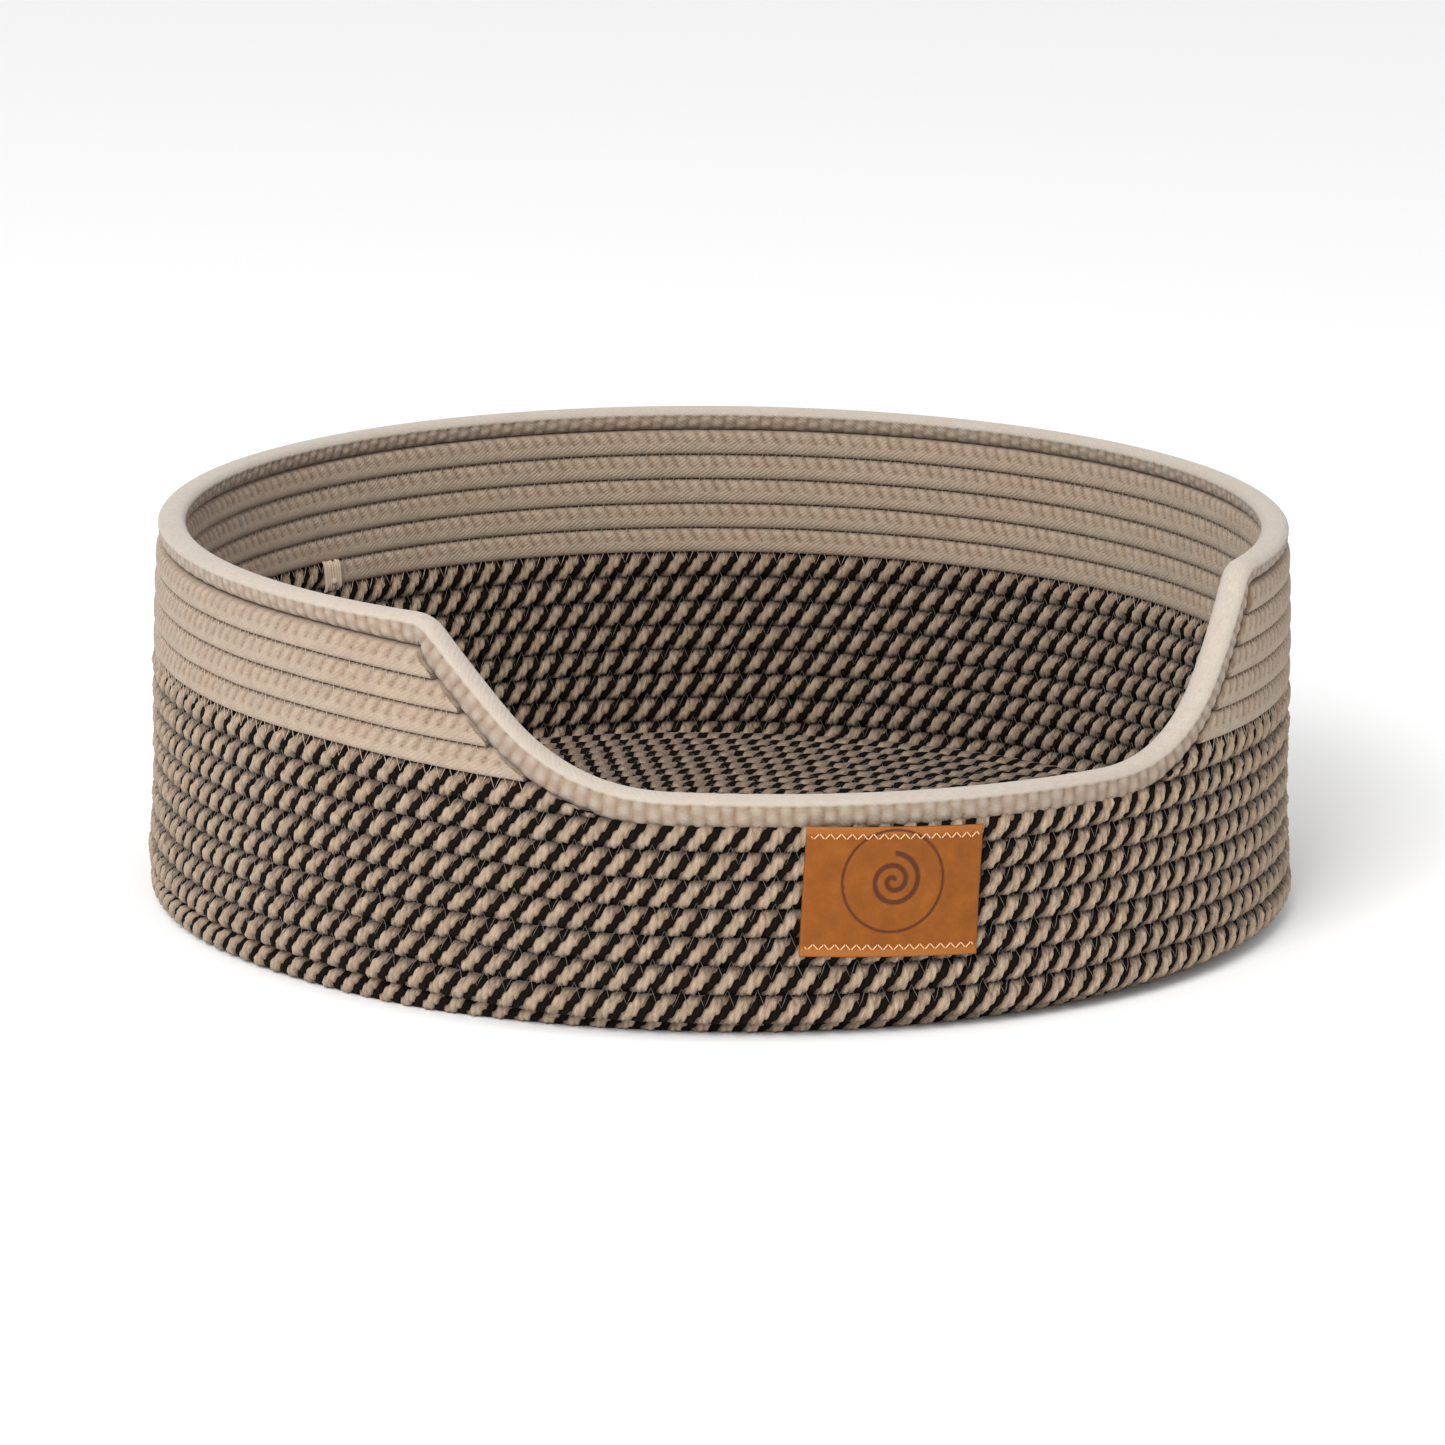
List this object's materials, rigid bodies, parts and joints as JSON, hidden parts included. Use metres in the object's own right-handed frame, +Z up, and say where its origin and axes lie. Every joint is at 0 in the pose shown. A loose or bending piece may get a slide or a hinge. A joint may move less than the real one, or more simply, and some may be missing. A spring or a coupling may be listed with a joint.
{
  "type": "coiled rope pet bed basket",
  "caption": "Low round pet bed basket coiled and sewn from two-tone and cream cotton rope, with a dipped front entry, a bound rope rim and a small leather label.",
  "frame": {"origin": "on the ground plane under the middle of the round floor", "axes": "+Z up out of the open top, -Y out through the middle of the dipped entry, +X to the right of someone facing the entry"},
  "size_m": [0.412, 0.4135, 0.1393],
  "materials": {
    "two_tone_rope": "twisted cotton rope, tan and near-black strands in turn, matte",
    "cream_rope": "plain cream cotton rope, sewn, matte",
    "rim_rope": "flattened cream cotton rope, smooth on top, zigzag sewn below, matte",
    "label_leather": "tan vegetable-tanned leather, satin, with a burnt ring mark",
    "sewing_thread": "cream polyester thread, slight sheen"
  },
  "bodies": {
    "root": {"floor_coil": "two_tone_rope", "floor_edge_turn": "two_tone_rope", "two_tone_turn_1": "two_tone_rope", "two_tone_turn_2": "two_tone_rope", "two_tone_turn_3": "two_tone_rope", "two_tone_turn_4": "two_tone_rope", "two_tone_turn_5": "two_tone_rope", "two_tone_turn_6": "two_tone_rope", "two_tone_turn_7": "two_tone_rope", "two_tone_turn_8_right": "two_tone_rope", "two_tone_turn_8_left": "two_tone_rope", "cream_course_1": "cream_rope", "cream_course_2": "cream_rope", "cream_course_3": "cream_rope", "cream_course_4": "cream_rope", "cream_course_5": "cream_rope", "rim_rope": "rim_rope", "label_patch": "label_leather", "label_stitches_top": "sewing_thread", "label_stitches_bottom": "sewing_thread", "splice_whipping": "sewing_thread"}
  },
  "joints": []
}
